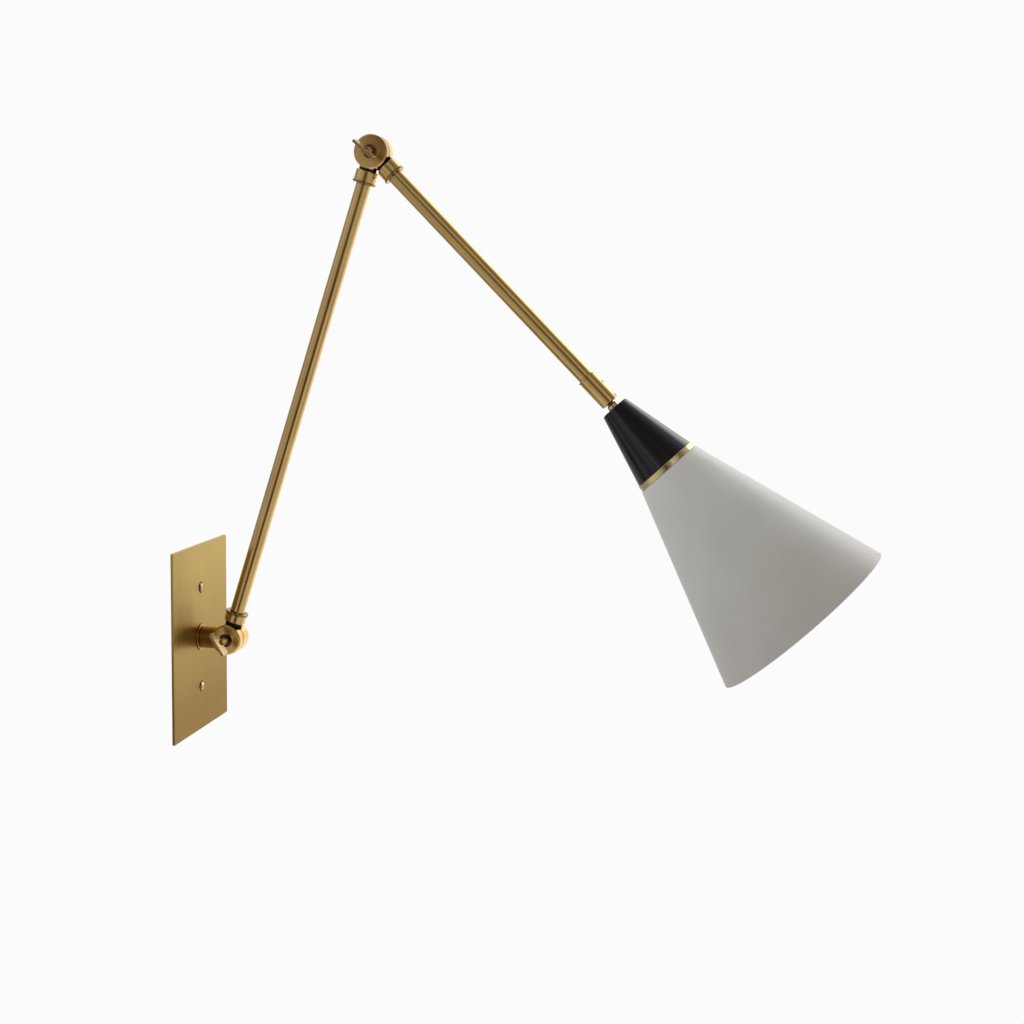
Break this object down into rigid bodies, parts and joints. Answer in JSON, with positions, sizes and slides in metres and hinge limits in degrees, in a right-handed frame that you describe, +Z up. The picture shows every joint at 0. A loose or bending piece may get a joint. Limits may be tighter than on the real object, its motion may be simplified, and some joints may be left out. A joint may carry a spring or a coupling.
{
  "type": "swing arm wall lamp",
  "caption": "Brass wall lamp: flat backplate, turning post, jointed arms locked by thumb screws, and a swivelling cone shade with a black cap.",
  "frame": {"origin": "middle of the backplate's back face, on the wall, on the axis that the post turns about", "axes": "+Z up the wall, +Y into the wall, so the lamp reaches out towards -Y; both arm hinges turn about X"},
  "size_m": [0.1683, 0.6127, 0.5183],
  "materials": {
    "brushed_brass": "satin, brushed top to bottom",
    "satin_brass": "satin, hand-rubbed",
    "bright_brass": "polished",
    "gloss_black_paint": "gloss",
    "white_paint": "satin",
    "phenolic": "moulded",
    "bright_shell": "rolled",
    "zinc_steel": "zinc plated",
    "black_nylon": "moulded",
    "grey_fibre": "pressed fibre"
  },
  "bodies": {
    "plate": {"backplate": "brushed_brass", "mounting_screws": "bright_brass", "post_ring": "satin_brass"},
    "post": {"post": "satin_brass", "post_pipe": "zinc_steel", "pipe_washer": "zinc_steel", "pipe_nut": "zinc_steel", "wire_bushing": "black_nylon"},
    "base_thumb_screw": {"base_thumb_screw": "bright_brass"},
    "lower_arm": {"base_knuckle": "satin_brass", "base_friction_washer": "grey_fibre", "base_collar": "satin_brass", "lower_tube": "satin_brass", "elbow_lower_collar": "satin_brass", "elbow_lower_knuckle": "satin_brass"},
    "elbow_thumb_screw": {"elbow_thumb_screw": "bright_brass"},
    "upper_arm": {"elbow_upper_knuckle": "satin_brass", "elbow_friction_washer": "grey_fibre", "elbow_upper_collar": "satin_brass", "upper_tube": "satin_brass", "swivel_plug": "zinc_steel"},
    "barrel": {"swivel_barrel": "satin_brass", "barrel_grub_screws": "zinc_steel", "ball_seat": "black_nylon"},
    "shade_head": {"swivel_ball": "bright_brass", "shade_neck": "bright_brass", "shade_cap": "gloss_black_paint", "cap_nut": "zinc_steel", "lampholder_block": "phenolic", "lampholder_sleeve": "phenolic", "lampholder_shell": "bright_shell", "lampholder_contact": "bright_shell", "shade_band": "bright_brass", "shade": "white_paint", "shade_ring_nut": "phenolic"}
  },
  "joints": [
    {"name": "post_turn", "type": "hinge", "parent": "plate", "child": "post", "pos_m": [0, 0, 0], "axis": [0, 1, 0], "range_deg": [-90, 90]},
    {"name": "base_thumb_turn", "type": "hinge", "parent": "post", "child": "base_thumb_screw", "pos_m": [0, -0.0284, 0], "axis": [-1, 0, 0], "range_deg": [0, 360]},
    {"name": "base_hinge", "type": "hinge", "parent": "post", "child": "lower_arm", "pos_m": [0, -0.0284, 0], "axis": [1, 0, 0], "range_deg": [-17, 80]},
    {"name": "elbow_thumb_turn", "type": "hinge", "parent": "lower_arm", "child": "elbow_thumb_screw", "pos_m": [0, -0.15793, 0.42103], "axis": [-1, 0, 0], "range_deg": [0, 360]},
    {"name": "elbow_hinge", "type": "hinge", "parent": "lower_arm", "child": "upper_arm", "pos_m": [0, -0.15793, 0.42103], "axis": [1, 0, 0], "range_deg": [-118, 1.5]},
    {"name": "barrel_turn", "type": "hinge", "parent": "upper_arm", "child": "barrel", "pos_m": [0, -0.35966, 0.21929], "axis": [0, -0.7071, -0.7071], "range_deg": [-170, 170]},
    {"name": "shade_tilt", "type": "hinge", "parent": "barrel", "child": "shade_head", "pos_m": [0, -0.35966, 0.21929], "axis": [1, 0, 0], "range_deg": [-20.5, 16.5]}
  ]
}
